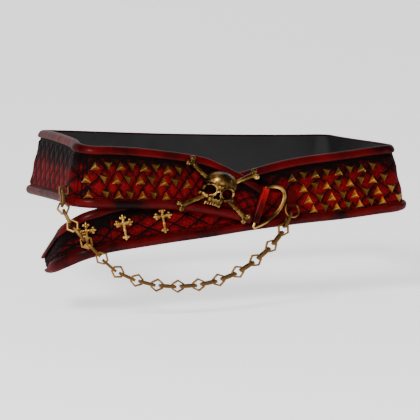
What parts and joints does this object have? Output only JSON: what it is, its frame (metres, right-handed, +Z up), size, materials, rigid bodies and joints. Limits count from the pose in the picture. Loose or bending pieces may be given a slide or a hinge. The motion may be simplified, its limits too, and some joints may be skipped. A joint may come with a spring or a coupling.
{
  "type": "spiked belt",
  "caption": "Wide quilted leather hip belt, wrapped and crossed at the front, with pyramid studs, a skull over crossed bones, crosses, rings and a swag chain.",
  "frame": {"origin": "centre of the waist opening, level with the nominal rim, where a wearer holds the belt up", "axes": "+Z up along the wearer, -Y towards the front where the strap crosses, +X to the viewer's right of the front"},
  "size_m": [0.396, 0.2528, 0.1545],
  "materials": {
    "quilted_leather": "satin",
    "binding_leather": "glossy",
    "lining_leather": "matte",
    "bright_brass": "polished",
    "aged_brass": "aged"
  },
  "bodies": {
    "belt": {"back": "quilted_leather", "big_ring": "aged_brass", "bone_lower_left": "aged_brass", "bone_lower_right": "aged_brass", "bone_upper_left": "aged_brass", "bone_upper_right": "aged_brass", "chain_staple": "aged_brass", "cross_1": "bright_brass", "cross_2": "bright_brass", "cross_3": "bright_brass", "left_bottom_binding": "binding_leather", "left_front": "quilted_leather", "left_lining": "lining_leather", "left_side": "quilted_leather", "left_top_binding": "binding_leather", "loop_bottom_binding": "binding_leather", "loop_lining": "lining_leather", "loop_top_binding": "binding_leather", "right_bottom_binding": "binding_leather", "right_front": "quilted_leather", "right_lining": "lining_leather", "right_side": "quilted_leather", "right_top_binding": "binding_leather", "ring_strap": "binding_leather", "ring_tab": "binding_leather", "skull": "aged_brass", "tail": "quilted_leather", "tail_lining": "lining_leather", "tail_tip": "quilted_leather"},
    "chain": {"link_01": "bright_brass", "link_02": "bright_brass", "link_03": "bright_brass", "link_04": "bright_brass", "link_05": "bright_brass", "link_06": "bright_brass", "link_07": "bright_brass", "link_08": "bright_brass", "link_09": "bright_brass", "link_10": "bright_brass", "link_11": "bright_brass", "link_12": "bright_brass", "link_13": "bright_brass", "link_14": "bright_brass", "link_15": "bright_brass", "link_16": "bright_brass", "link_17": "bright_brass", "link_18": "bright_brass", "link_19": "bright_brass", "link_20": "bright_brass", "link_21": "bright_brass", "link_22": "bright_brass", "link_23": "bright_brass", "link_24": "bright_brass", "link_25": "bright_brass", "link_26": "bright_brass", "link_27": "bright_brass", "link_28": "bright_brass", "link_29": "bright_brass", "small_ring": "aged_brass"}
  },
  "joints": [
    {"name": "chain_swing", "type": "hinge", "parent": "belt", "child": "chain", "pos_m": [-0.18935, -0.09597, -0.042], "axis": [-0.9933, 0.0876, 0.0748], "range_deg": [0, 60]}
  ]
}
